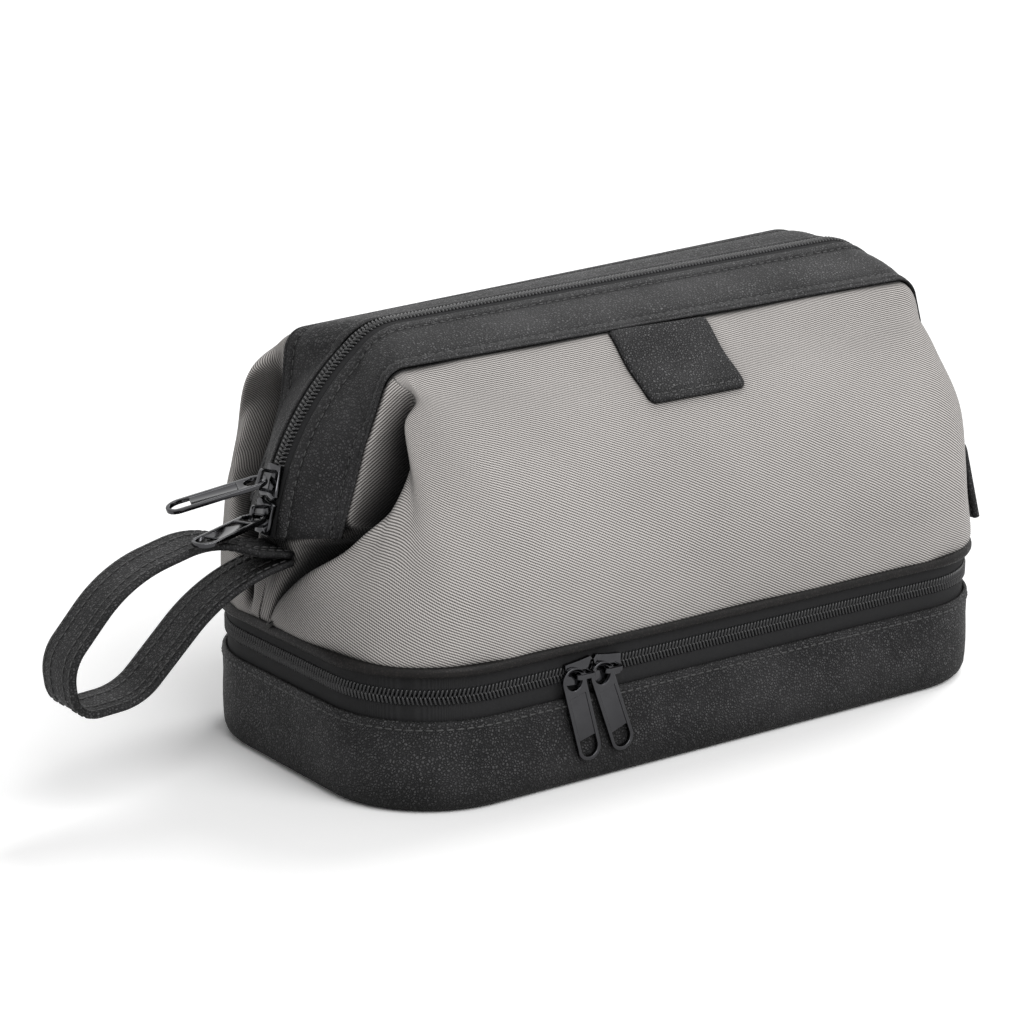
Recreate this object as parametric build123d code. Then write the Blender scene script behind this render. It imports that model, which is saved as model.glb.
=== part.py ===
from build123d import *
from math import asin, atan2, cos, degrees, hypot, pi, radians, sin, tan
import os

os.makedirs("parts", exist_ok=True)

# Frame: X along the bag, Y from front (-) to rear (+), Z up.
# The origin is the middle of the tray's underside, which stands on the table. Millimetres.

# Outline of the bag seen from above, shared by the tray and the waist
bag_length = 266.0
bag_depth = 134.0
corner_radius = 39.0

# Lower tray
tray_height = 31.0
leather = 2.0
tray_edge_radius = 4.0
base_lip = 12.0
base_thickness = 2.0
board_thickness = 2.0
lining = 0.5
lining_gap = 0.2

# Zip chain and tape, the same size on both zips
tape = 0.6
chain_half_width = 2.6
tooth_pitch = 3.0
tooth_length = 1.2
tooth_thickness = 1.8
tooth_mesh = 0.5
stop_length = 1.6

# Lower zip, round the tray
lower_zip_rise = 7.7
lower_zip_height = tray_height + lower_zip_rise
tape_tuck = 7.0
rear_zip_setback = 53.0
rear_zip_end = bag_length / 2 - rear_zip_setback
hinge_strip_gap = 1.0

# Waist of the upper bag
waist_rise = 18.0
waist_height = tray_height + waist_rise
piping_height = 3.6
piping_proud = 0.8
piping_edge = 1.25

# Fabric shell. Each section: height above the waist, insets from the outline's ends and sides, corner radius
fabric = 1.5
least_radius = 2.0
low_sections = (
    (0.0, 0.0, 0.0, corner_radius),
    (26.0, 0.5, -1.5, 48.0),
    (49.0, 6.0, 2.0, 38.0),
    (69.0, 14.0, 13.0, 24.0),
)
front_sections = low_sections + (
    (80.0, 19.5, 25.5, 14.0),
    (85.9, 22.5, 35.5, 7.0),
)
rear_sections = low_sections + (
    (85.0, 23.0, 25.0, 16.0),
    (102.0, 24.0, 35.5, 7.0),
)

# Leather mouth bands: the zip edge and the outer edge are arches in the XZ plane
band = 1.6
mouth_setback = 37.0
mouth_half_depth = bag_depth / 2 - mouth_setback
zip_gap = 5.3
zip_end_rise = 32.5
zip_end_out = 4.6
zip_end_height = waist_height + zip_end_rise
zip_end_x = bag_length / 2 + zip_end_out
ridge_rise = 103.0
right_ridge_in = 21.0
ridge_height = waist_height + ridge_rise
right_ridge_x = bag_length / 2 - right_ridge_in
left_ridge_rise = 96.4
left_ridge_in = 36.0
left_ridge_height = waist_height + left_ridge_rise
left_ridge_x = bag_length / 2 - left_ridge_in
shoulder_rise = 67.6
shoulder_in = 0.6
shoulder_height = waist_height + shoulder_rise
shoulder_x = bag_length / 2 - shoulder_in
zip_foot_run = 2.0
zip_ridge_radius = 24.0
zip_right_radius = 20.0
edge_rise = 88.0
edge_in = 23.0
edge_height = waist_height + edge_rise
edge_half_length = bag_length / 2 - edge_in
rear_left_rise = 90.5
rear_left_in = 29.0
rear_right_rise = 102.2
rear_right_in = 21.0
edge_foot_rise = 4.5
edge_foot_in = 5.0
edge_foot_height = zip_end_height + edge_foot_rise
edge_foot_x = bag_length / 2 - edge_foot_in
edge_knee_rise = 66.0
edge_knee_in = 14.3
edge_radii = (80.0, 9.0, 10.0)
rear_edge_radii = (80.0, 9.0, 16.0)
foot_gap = 0.9
seat_gap = 0.3
rim_gap = 0.5

# Spring wire in the outer hem of each band
wire_radius = 1.25
wire_setback = 3.0
wire_gap = 0.3
rear_wire_gap = 0.6

# Sliders; the pairs are shares of the half length and of the shoulder, the wedge's of the length
slider_length = 11.0
slider_tail = 3.4
slider_shoulder = 4.75
slider_neck_share = 0.1
slider_shoulder_share = 0.8
slider_cheek_share = 0.75
slider_nose_share = 0.84
slider_plate = 1.0
slider_clearance = 0.25
slider_spacing = 0.3
flange_inner = 2.95
wedge_shares = (0.24, 0.36, 0.425)
wedge_half_width = 0.9
crown_length = 7.2
crown_width = 1.5
crown_bar = 1.1
crown_radius = 1.5
crown_foot = 1.0
crown_window = 3.6

# Pulls
pull_centres = 24.5
pull_half_width = 4.5
pull_rim = 1.3
pull_thickness = 1.5
pull_recess = 0.4
pull_tongue_top = 5.4
pull_tongue_end = 21.0

# Where the sliders are parked
lower_pair_x = -56.7
lower_eye_slack = 0.5
top_pair_rise = 11.7
top_pair_height = zip_end_height + top_pair_rise
lower_pull_leans = (15.0, 20.0)
top_pull_drops = (16.0, 3.0)
top_pull_yaw = 23.0
top_pull_swing = 31.0

# Wrist strap: a loop in the XZ plane, sewn in under the left end of the top zip.
# Its route is given from the left end of the outline and the end of the zip.
strap_width = 20.0
strap_thickness = 2.4
strap_root_out = 0.5
strap_root_drops = (5.0, 7.6)
strap_route = (
    (-11.5, -2.8),
    (-29.0, 4.0),
    (-59.0, -3.5),
    (-80.5, -27.5),
    (-78.5, -44.5),
    (-56.0, -43.0),
    (-23.5, -11.5),
)
strap_bends = (20.0, 30.0, 45.0, 15.0, 8.0, 20.0, 60.0)

# End tab on the right
tab_width = 46.0
tab_thickness = 3.0
tab_root_out = 0.4
tab_root_drop = 8.5
tab_knee_out = 13.0
tab_knee_drop = 6.2
tab_foot_out = 21.0
tab_foot_drop = 38.0
tab_bend = 7.0

# Label patch on the front
label_width = 41.0
label_length = 31.0
label_thickness = 1.4
label_centre_x = -3.5
label_corner = 4.0


def save(name, shape):
    """Write one node; a list of solids becomes one compound."""
    if isinstance(shape, list):
        shape = Compound(children=shape)
    shape.label = name
    export_step(shape, "parts/" + name + ".step")


def outline(inset):
    """The bag's outline from above, drawn in by an inset."""
    return RectangleRounded(bag_length - 2 * inset, bag_depth - 2 * inset, corner_radius - inset)


def prism(inset, low, high):
    return Pos(0, 0, low) * extrude(outline(inset), high - low)


def ring(outer_inset, inner_inset, low, high):
    return prism(outer_inset, low, high) - prism(inner_inset, low, high)


def solids_of(shape):
    return list(shape.solids())


# Lower tray

def tray_wall():
    body = prism(0, 0, tray_height)
    rim = body.faces().sort_by(Axis.Z)[0].edges()
    body = fillet(rim, tray_edge_radius)
    body -= prism(leather, base_thickness, tray_height)
    return body - prism(base_lip, 0, base_thickness)


def tray_lining():
    outer = leather + tape
    low = base_thickness + board_thickness
    body = prism(outer, low, tray_height)
    return body - prism(outer + lining, low + lining, tray_height)


def without_rear(shape, half_length):
    """Leave out the straight rear stretch, where the hinge strip is."""
    return shape - Pos(0, bag_depth / 2, lower_zip_height) * Box(2 * half_length, 4 * leather, bag_depth)


def lower_path():
    inset = leather + tape / 2
    x = bag_length / 2 - inset
    y = bag_depth / 2 - inset
    corners = ((rear_zip_end, y), (x, y), (x, -y), (-x, -y), (-x, y), (-rear_zip_end, y))
    return FilletPolyline(*corners, radius=corner_radius - inset)


def lower_tooth(side):
    high = chain_half_width + tooth_mesh
    return Pos(0, 0, side * (chain_half_width - high / 2)) * Box(tooth_length, tooth_thickness, high)


def chain_stations(length, start, parked, bare):
    """Distances of the teeth along a path; none where the parked sliders' wedges are."""
    count = int((length - stop_length - start) // tooth_pitch)
    stations = [start + k * tooth_pitch for k in range(count)]
    return [s for s in stations if abs(s - parked) > bare]


def lower_teeth(side):
    path = lower_path()
    start = stop_length + tooth_pitch * (1.0 if side > 0 else 0.5)
    front = bag_length / 2 - corner_radius - lower_pair_x
    corner = (corner_radius - leather - tape / 2) * pi / 2
    parked = rear_run() + 2 * corner + bag_depth - 2 * corner_radius + front
    teeth = []
    for s in chain_stations(path.length, start, parked, wedge_reach()):
        spot = path.position_at(s / path.length)
        way = path.tangent_at(s / path.length)
        turn = degrees(atan2(way.Y, way.X))
        tooth = Location((spot.X, spot.Y, lower_zip_height), (0, 0, turn)) * lower_tooth(side)
        teeth += solids_of(tooth)
    return teeth


def rear_run():
    return bag_length / 2 - corner_radius - rear_zip_end


def wedge_reach():
    return slider_length / 2 + tooth_length


def lower_stops():
    stops = []
    for side in (-1, 1):
        x = side * (rear_zip_end + stop_length / 2)
        y = bag_depth / 2 - leather - tape / 2
        stops.append(Pos(x, y, lower_zip_height) * Box(stop_length, tooth_thickness, 2 * chain_half_width))
    return [s for stop in stops for s in solids_of(stop)]


# Upper bag

def piping():
    low = waist_height - piping_height
    body = prism(-piping_proud, low, waist_height)
    edges = body.faces().sort_by(Axis.Z)[0].edges() + body.faces().sort_by(Axis.Z)[-1].edges()
    body = fillet(edges, piping_edge)
    return body - prism(leather + tape, low, waist_height)


def shell_core(sections, inset):
    faces = []
    for rise, end_inset, side_inset, radius in sections:
        length = bag_length - 2 * (end_inset + inset)
        depth = bag_depth - 2 * (side_inset + inset)
        section = RectangleRounded(length, depth, max(radius - inset, least_radius))
        faces.append(Pos(0, 0, waist_height + rise) * section)
    return loft(faces)


def shell(sections, outer_inset, inner_inset):
    body = shell_core(sections, outer_inset) - shell_core(sections, inner_inset)
    return body - end_slots()


def under_rear_band(shape):
    """Cut the rear shell off just below the sloping edge of its band."""
    left, right = shifted(rear_edge_points()[2:4], -(band + rim_gap))
    slope = (right[1] - left[1]) / (right[0] - left[0])
    low = left[1] - slope * (bag_length + left[0])
    high = right[1] + slope * (bag_length - right[0])
    corners = ((-bag_length, low), (bag_length, high), (bag_length, 2 * high), (-bag_length, 2 * high))
    return shape - extrude(Plane.XZ * make_face(Polyline(*corners, close=True)), -bag_depth)


def end_slots():
    """Room at both ends, above the gussets, for the legs of the mouth bands."""
    half = mouth_half_depth + seat_gap
    corners = (
        (-half, ridge_height),
        (-half, edge_foot_height - foot_gap),
        (-zip_gap, zip_end_height - foot_gap),
        (zip_gap, zip_end_height - foot_gap),
        (half, edge_foot_height - foot_gap),
        (half, ridge_height),
    )
    return extrude(Plane.YZ * make_face(Polyline(*corners, close=True)), bag_length, both=True)


def half(shape, side):
    """The front (-1) or rear (1) half, cut at the seams on the bag's ends."""
    depth = bag_depth
    reach = Pos(0, side * (depth / 2 + seat_gap / 2), ridge_height / 2) * Box(2 * bag_length, depth, 2 * ridge_height)
    return shape & reach


# Mouth bands and the top zip

def shifted(points, distance):
    """A polyline moved to its left by a distance, with mitred corners."""
    moved = []
    for k, (x, z) in enumerate(points):
        ways = []
        if k > 0:
            ways.append(Vector(x - points[k - 1][0], z - points[k - 1][1]).normalized())
        if k < len(points) - 1:
            ways.append(Vector(points[k + 1][0] - x, points[k + 1][1] - z).normalized())
        sides = [Vector(-way.Y, way.X) for way in ways]
        total = sides[0] if len(sides) == 1 else sides[0] + sides[1]
        scale = distance / total.dot(sides[0])
        moved.append((x + total.X * scale, z + total.Y * scale))
    return moved


def zip_points():
    return (
        (-zip_end_x, zip_end_height),
        (-shoulder_x, shoulder_height),
        (-left_ridge_x, left_ridge_height),
        (right_ridge_x, ridge_height),
        (zip_end_x, zip_end_height),
    )


def left_radius():
    """Radius of the left arc, which leaves a short straight run at the foot of the zip."""
    out, high = zip_end_x - shoulder_x, shoulder_height - zip_end_height
    leg = hypot(out, high)
    climb = atan2(left_ridge_height - shoulder_height, shoulder_x - left_ridge_x)
    turn = atan2(high, out) - climb
    return (leg - zip_foot_run) / tan(turn / 2)


def zip_radii():
    return (left_radius(), zip_ridge_radius, zip_right_radius)


def edge_points():
    return (
        (-edge_foot_x, edge_foot_height),
        (edge_knee_in - bag_length / 2, waist_height + edge_knee_rise),
        (-edge_half_length, edge_height),
        (edge_half_length, edge_height),
        (edge_foot_x, edge_foot_height),
    )


def rear_edge_points():
    """The rear band's outer edge stands higher and climbs to the right, level with the zip."""
    return (
        (-edge_foot_x, edge_foot_height),
        (edge_knee_in - bag_length / 2, waist_height + edge_knee_rise),
        (rear_left_in - bag_length / 2, waist_height + rear_left_rise),
        (bag_length / 2 - rear_right_in, waist_height + rear_right_rise),
        (edge_foot_x, edge_foot_height),
    )


def bend_radii(points, radii, distance):
    """Radii of the moved polyline: larger outside a bend, smaller inside it."""
    result = []
    for k, radius in enumerate(radii):
        before = Vector(points[k + 1][0] - points[k][0], points[k + 1][1] - points[k][1])
        after = Vector(points[k + 2][0] - points[k + 1][0], points[k + 2][1] - points[k + 1][1])
        left_turn = before.X * after.Y - before.Y * after.X > 0
        result.append(radius - distance if left_turn else radius + distance)
    return result


def strip(points, radii, outer, inner):
    """A closed XZ profile that follows an arch between two offsets from it."""
    above = shifted(points, outer)
    below = shifted(points, inner)
    top = FilletPolyline(*above, radius=bend_radii(points, radii, outer))
    bottom = FilletPolyline(*below, radius=bend_radii(points, radii, inner))
    ends = [Line(above[0], below[0]), Line(above[-1], below[-1])]
    return make_face(top.edges() + bottom.edges() + ends)


def at_depth(profile, depth):
    """Stand an XZ profile up at a distance in front of the middle."""
    return Plane.XZ.offset(depth) * profile


def mouth_band(edge, edge_bends):
    inner = at_depth(strip(zip_points(), zip_radii(), band / 2, -band / 2), zip_gap)
    outer = at_depth(strip(edge, edge_bends, 0, -band), mouth_half_depth)
    return loft([inner, outer], ruled=True)


def frame_wire(edge, edge_bends, gap):
    depth = mouth_half_depth - wire_setback
    points = shifted(edge, -(band + wire_radius + gap))
    route = Plane.XZ.offset(depth) * FilletPolyline(*points, radius=list(edge_bends))
    start = route.position_at(0)
    section = Plane(start, z_dir=route.tangent_at(0)) * Circle(wire_radius)
    return sweep(section, path=route)


def front_tape():
    profile = strip(zip_points(), zip_radii(), tape / 2, -tape / 2)
    return extrude(at_depth(profile, chain_half_width), zip_gap - chain_half_width)


def top_path():
    return Plane.XZ * FilletPolyline(*zip_points(), radius=list(zip_radii()))


def arc_centre():
    """Centre of the left end's arc, which the top sliders turn about."""
    return top_path().edges()[1].arc_center


def station_angle(height):
    """Angle on the left arc, from +X, of the chain at a height."""
    rise = (height - arc_centre().Z) / left_radius()
    return 180 - degrees(asin(rise))


def top_teeth(side):
    """Teeth of the front (-1) or rear (1) half."""
    path = top_path()
    edges = path.edges()
    start = stop_length + tooth_pitch * (1.0 if side > 0 else 0.5)
    first = arc_centre()
    begin = edges[1].position_at(0)
    begin_angle = degrees(atan2(begin.Z - first.Z, begin.X - first.X))
    parked = edges[0].length + radians(begin_angle - station_angle(top_pair_height)) * left_radius()
    reach = chain_half_width + tooth_mesh
    teeth = []
    for s in chain_stations(path.length, start, parked, wedge_reach()):
        spot = path.position_at(s / path.length)
        way = path.tangent_at(s / path.length)
        turn = -degrees(atan2(way.Z, way.X))
        block = Pos(0, side * (chain_half_width - reach / 2), 0) * Box(tooth_length, reach, tooth_thickness)
        teeth += solids_of(Location((spot.X, 0, spot.Z), (0, turn, 0)) * block)
    return teeth


def top_stop(end):
    path = top_path()
    s = stop_length / 2 if end < 0 else path.length - stop_length / 2
    spot = path.position_at(s / path.length)
    way = path.tangent_at(s / path.length)
    turn = -degrees(atan2(way.Z, way.X))
    block = Box(stop_length, 2 * (chain_half_width - seat_gap), tooth_thickness)
    return Location((spot.X, 0, spot.Z), (0, turn, 0)) * block


def label_patch():
    """A sewn patch that follows the panel's slope just below the front band."""
    top = front_sections[-1]
    lower = front_sections[-3]
    slope = degrees(atan2(top[0] - lower[0], top[2] - lower[2]))
    reach = label_length / 2 + seat_gap
    y = -(mouth_half_depth + band + reach * cos(radians(slope)))
    z = edge_height - band - reach * sin(radians(slope))
    cutter = extrude(RectangleRounded(label_width, label_length, label_corner), label_length, both=True)
    cutter = Pos(label_centre_x, y, z) * (Rot(slope, 0, 0) * cutter)
    skin = shell_core(front_sections, -seat_gap - label_thickness) - shell_core(front_sections, -seat_gap)
    front = Pos(0, -bag_depth, edge_height / 2) * Box(bag_length, 2 * bag_depth, 2 * edge_height)
    return skin & cutter & front


# Sliders and pulls

def slider_outline(inset):
    nose = slider_length / 2 - inset
    tail = slider_tail - inset
    shoulder = slider_shoulder - inset
    waist = (tail + shoulder) / 2
    upper = (
        (-nose, tail),
        (slider_neck_share * nose, waist),
        (slider_shoulder_share * nose, shoulder),
        (nose, slider_cheek_share * shoulder),
        (slider_nose_share * nose, 0),
    )
    lower = [(x, -y) for x, y in reversed(upper[:-1])]
    return make_face(Polyline(*upper, *lower, close=True))


def crown():
    """The bridge that holds the pull, an arch along the slider."""
    height = crown_window + crown_bar
    block = Pos(0, 0, height / 2) * Box(crown_length, crown_width, height)
    edges = block.edges().filter_by(Axis.Y).sort_by(Axis.Z)[-2:]
    block = fillet(edges, crown_radius)
    window = Box(crown_length - 2 * crown_foot, 2 * crown_width, crown_window)
    return block - Pos(0, 0, crown_window / 2) * window


def slider():
    """Two plates round the chain, flanges, the wedge between them and the bridge on top; nose to +X."""
    channel = tooth_thickness / 2 + slider_clearance
    plate = extrude(slider_outline(0), slider_plate)
    rail = slider_outline(0) - Rectangle(2 * slider_length, 2 * flange_inner)
    lip = channel - tape / 2 - slider_clearance
    top = Pos(0, 0, channel) * plate + Pos(0, 0, channel - lip) * extrude(rail, lip)
    back, middle, front = [share * slider_length for share in wedge_shares]
    wedge = Polyline((back, 0), (middle, wedge_half_width), (front, 0), (middle, -wedge_half_width), close=True)
    post = Pos(0, 0, -channel - slider_plate / 2) * extrude(make_face(wedge), 2 * channel + slider_plate)
    body = top + mirror(top, about=Plane.XY) + post
    return body + Pos(0, 0, channel + slider_plate) * crown()


def pull_seat():
    """Height of the pull's middle plane above the chain, in the middle of the bridge's window."""
    return tooth_thickness / 2 + slider_clearance + slider_plate + crown_window / 2


def pull():
    """Eye at the origin, hanging towards -Y: rim, recessed tongue and an open end."""
    middle = Pos(0, -pull_centres / 2)
    body = middle * SlotCenterToCenter(pull_centres, 2 * pull_half_width, rotation=90)
    inner = middle * SlotCenterToCenter(pull_centres, 2 * (pull_half_width - pull_rim), rotation=90)
    eye = Circle(pull_half_width - pull_rim)
    open_end = inner & Pos(0, -pull_tongue_end - pull_half_width) * Rectangle(4 * pull_half_width, 2 * pull_half_width)
    reach = pull_tongue_end - pull_tongue_top
    tongue = inner & Pos(0, -pull_tongue_top - reach / 2) * Rectangle(4 * pull_half_width, reach)
    solid = extrude(body - eye - open_end, pull_thickness / 2, both=True)
    recess = extrude(tongue, pull_recess)
    for side in (-1, 1):
        level = pull_thickness / 2 - pull_recess if side > 0 else -pull_thickness / 2
        solid -= Pos(0, 0, level) * recess
    return solid


def lower_slider(side):
    """Left (-1) or right (1) of the pair, nose towards the other."""
    x = lower_pair_x + side * (slider_length + slider_spacing) / 2
    y = -(bag_depth / 2 - leather - tape / 2)
    turned = Rot(90, 0, 0) * (Rot(0, 0, 180) * slider() if side > 0 else slider())
    return Pos(x, y, lower_zip_height) * turned


def lower_eye(side):
    """Centre of a lower pull's eye, hung on the left foot of the bridge."""
    x = lower_pair_x + side * (slider_length + slider_spacing) / 2 - crown_length / 2 + crown_foot / 2
    y = -(bag_depth / 2 - leather - tape / 2) - lower_pull_level()
    z = lower_zip_height - (pull_half_width - pull_rim) + crown_width / 2 + lower_eye_slack
    return (x, y, z)


def lower_pull_level():
    """The pull lies low in the window, just clear of the slider's plate."""
    return tooth_thickness / 2 + slider_clearance + slider_plate + seat_gap + pull_thickness / 2


def lower_pull(side, lean):
    return Pos(*lower_eye(side)) * (Rot(90, 0, 0) * (Rot(0, 0, lean) * pull()))


def top_station(side):
    """Angle of the upper (1) or lower (-1) top slider on the arc."""
    step = degrees((slider_length + slider_spacing) / 2 / left_radius())
    return station_angle(top_pair_height) - side * step


def top_slider(side):
    angle = top_station(side)
    centre = arc_centre()
    x = centre.X + left_radius() * cos(radians(angle))
    z = centre.Z + left_radius() * sin(radians(angle))
    body = slider() if side < 0 else Rot(0, 0, 180) * slider()
    return Location((x, 0, z), (0, 90 - angle, 0)) * body


def top_eye(side):
    """Middle of the bridge's window, where the pull's rim turns."""
    angle = radians(top_station(side))
    centre = arc_centre()
    reach = left_radius() + pull_seat()
    return (centre.X + reach * cos(angle), 0, centre.Z + reach * sin(angle))


def top_pull(side, drop):
    """Rim in the bridge's window, swung to its own side of the strap and hanging out to the left."""
    rim_centre = pull_half_width - pull_rim / 2
    swing = -side * top_pull_swing
    yaw = -side * top_pull_yaw
    hung = Rot(0, 0, swing) * (Pos(0, -rim_centre) * (Rot(0, 0, yaw - swing) * pull()))
    level = Rot(0, 0, -90) * hung
    return Pos(*top_eye(side)) * (Rot(0, -drop, 0) * level)


# Strap and tab

def wrist_strap():
    """A flat band bent into a loop, its two ends one above the other at the root."""
    left = -bag_length / 2
    route = [(left + x, zip_end_height + z) for x, z in strap_route]
    roots = [(left - strap_root_out, zip_end_height - drop) for drop in strap_root_drops]
    points = [roots[0]] + route + [roots[1]]
    profile = strip(points, strap_bends, strap_thickness / 2, -strap_thickness / 2)
    return extrude(Plane.XZ * profile, strap_width / 2, both=True)


def end_tab():
    right = bag_length / 2
    points = (
        (right + tab_root_out, zip_end_height - tab_root_drop),
        (right + tab_knee_out, zip_end_height - tab_knee_drop),
        (right + tab_foot_out, zip_end_height - tab_foot_drop),
    )
    profile = strip(points, (tab_bend,), tab_thickness / 2, -tab_thickness / 2)
    return extrude(Plane.XZ * profile, tab_width / 2, both=True)


def build():
    zip_low = lower_zip_height - chain_half_width
    zip_high = lower_zip_height + chain_half_width
    piping_low = waist_height - piping_height
    tray_top = tray_height - tape_tuck

    save("tray_wall", tray_wall())
    save("tray_floor", prism(base_lip, 0, base_thickness))
    save("tray_board", prism(leather, base_thickness, base_thickness + board_thickness))
    save("tray_lining", tray_lining())
    tape_outer = leather
    tape_inner = leather + tape
    save("lower_zip_tape_bottom", without_rear(ring(tape_outer, tape_inner, tray_top, zip_low), rear_zip_end))
    save("lower_zip_coil_bottom", lower_teeth(-1))
    save("lower_zip_stops", lower_stops())

    save("waist_piping", piping())
    save("divider_board", prism(tape_inner, piping_low, piping_low + board_thickness))
    save("divider_lining", prism(tape_inner, piping_low + board_thickness, piping_low + board_thickness + lining))
    save("lower_zip_tape_top", without_rear(ring(tape_outer, tape_inner, zip_high, piping_low), rear_zip_end))
    save("lower_zip_coil_top", lower_teeth(1))
    strip_half = rear_zip_end - hinge_strip_gap
    strip_y = bag_depth / 2 - leather - tape / 2
    strip_height = piping_low - tray_height - seat_gap
    strip_z = piping_low - strip_height / 2
    save("rear_hinge_strip", Pos(0, strip_y, strip_z) * Box(2 * strip_half, tape, strip_height))
    lining_outer = fabric + lining_gap
    lining_inner = lining_outer + lining
    save("front_panel", half(shell(front_sections, 0, fabric), -1))
    save("front_lining", half(shell(front_sections, lining_outer, lining_inner), -1))
    save("rear_panel", under_rear_band(half(shell(rear_sections, 0, fabric), 1)))
    save("rear_lining", under_rear_band(half(shell(rear_sections, lining_outer, lining_inner), 1)))
    save("top_zip_stop_left", top_stop(-1))
    save("top_zip_stop_right", top_stop(1))

    tape_part = front_tape()
    save("front_band", mouth_band(edge_points(), edge_radii))
    save("rear_band", mirror(mouth_band(rear_edge_points(), rear_edge_radii), about=Plane.XZ))
    save("front_frame_wire", frame_wire(edge_points(), edge_radii, wire_gap))
    rear_wire = frame_wire(rear_edge_points(), rear_edge_radii, rear_wire_gap)
    save("rear_frame_wire", mirror(rear_wire, about=Plane.XZ))
    save("top_zip_tape_front", tape_part)
    save("top_zip_tape_rear", mirror(tape_part, about=Plane.XZ))
    save("top_zip_coil_front", top_teeth(-1))
    save("top_zip_coil_rear", top_teeth(1))
    save("label_patch", label_patch())

    save("lower_slider_left", lower_slider(-1))
    save("lower_slider_right", lower_slider(1))
    save("lower_pull_left", lower_pull(-1, lower_pull_leans[0]))
    save("lower_pull_right", lower_pull(1, lower_pull_leans[1]))
    save("top_slider_upper", top_slider(1))
    save("top_slider_lower", top_slider(-1))
    save("top_pull_upper", top_pull(1, top_pull_drops[0]))
    save("top_pull_lower", top_pull(-1, top_pull_drops[1]))
    save("wrist_strap", wrist_strap())
    save("end_tab", end_tab())

    centre = arc_centre()
    print("arc centre", round(centre.X, 3), round(centre.Z, 3))
    print("top eyes", [[round(v, 3) for v in top_eye(side)] for side in (1, -1)])
    print("lower eyes", [[round(v, 3) for v in lower_eye(side)] for side in (-1, 1)])


build()
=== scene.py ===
import math

import bmesh
import bpy
import numpy as np
from mathutils import Matrix, Vector, noise


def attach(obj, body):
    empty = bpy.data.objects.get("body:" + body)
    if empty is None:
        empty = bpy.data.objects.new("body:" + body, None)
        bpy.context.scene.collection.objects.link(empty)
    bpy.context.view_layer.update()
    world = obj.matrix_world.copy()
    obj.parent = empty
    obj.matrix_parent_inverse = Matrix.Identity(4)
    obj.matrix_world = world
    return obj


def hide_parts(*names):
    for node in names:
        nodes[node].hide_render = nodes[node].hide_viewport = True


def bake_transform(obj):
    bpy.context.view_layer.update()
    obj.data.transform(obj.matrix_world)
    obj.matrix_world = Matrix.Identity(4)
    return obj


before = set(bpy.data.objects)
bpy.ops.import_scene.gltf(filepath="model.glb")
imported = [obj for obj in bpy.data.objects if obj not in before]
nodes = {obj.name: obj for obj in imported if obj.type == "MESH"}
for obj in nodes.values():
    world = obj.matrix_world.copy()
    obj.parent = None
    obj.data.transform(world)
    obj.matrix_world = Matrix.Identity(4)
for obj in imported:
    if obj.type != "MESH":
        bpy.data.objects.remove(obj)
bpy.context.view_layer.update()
mm = 0.001

# Sizes shared with the CAD source, in millimetres
half_length, half_depth, corner = 133.0, 67.0, 39.0
tray_top, waist = 31.0, 49.0
zip_level, tape = 38.7, 0.6
zip_gap, mouth_half = 5.3, 30.0
rear_zip_end = 80.0
zip_corners = ((-137.6, 81.5), (-132.4, 116.6), (-97.0, 145.4), (112.0, 152.0), (137.6, 81.5))
zip_radii = (86.23, 24.0, 20.0)

# The hems of the front (-1) and rear (1) band in the XZ plane. They lie some millimetres off the solids'
# hems, to meet the photo
edge_corners = {
    -1: ((-128.0, 86.0), (-118.7, 115.0), (-110.0, 137.5), (113.0, 141.0), (129.5, 86.0)),
    1: ((-125.0, 86.0), (-113.5, 112.0), (-110.5, 139.5), (112.0, 151.2), (128.0, 86.0)),
}
edge_radii = {-1: (80.0, 9.0, 9.0), 1: (40.0, 7.0, 16.0)}

# Sizes of the visual model's own details, in millimetres
tooth_pitch, tooth_length, tooth_radius, tooth_height = 1.4, 3.3, 0.5, 0.95
tooth_offset, tooth_slant, chain_margin = 1.15, 0.3, 2.0
tape_inset, tape_half_gap, chain_inset = 2.3, 0.9, 2.0
tape_foot, tape_head, hinge_foot, hinge_head = 24.0, 46.2, 29.0, 45.6
cloth_thickness, lining_depth, band_thickness, patch_thickness = 1.3, 2.1, 1.6, 0.5
under_edge, under_tuck, tuck_share = 1.1, 3.0, 0.38
wave_size = np.array((42.0, 30.0, 34.0))
wire_radius, wire_half, wire_inset = 1.2, 27.0, {-1: 3.3, 1: 3.6}

# Steps round the outline and along a band's edge, and the cloth's steps up and round
outline_steps = 360
leg_counts = (4, 44, 5, 14, 90, 20, 26)
cloth_rows, cloth_columns = 120, 330
hem_row, edge_row, label_row, level_row = 89, 104, 95, 40
lining_rows, fade_low, fade_high = slice(6, 102), 16, 22
end_column, gusset_column, gusset_row = 43, 108, 84


# Meshes

def new_mesh(name, points, faces, smooth=True):
    mesh = bpy.data.meshes.new(name)
    mesh.from_pydata([tuple(p) for p in np.asarray(points) * mm], [], faces)
    mesh.update()
    if smooth:
        mesh.polygons.foreach_set("use_smooth", [True] * len(mesh.polygons))
    obj = bpy.data.objects.new(name, mesh)
    bpy.context.scene.collection.objects.link(obj)
    return obj


def grid_faces(rows, columns, wrap=False):
    faces = []
    last = columns if wrap else columns - 1
    for r in range(rows - 1):
        for c in range(last):
            d = (c + 1) % columns
            faces.append((r * columns + c, r * columns + d, (r + 1) * columns + d, (r + 1) * columns + c))
    return faces


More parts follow.
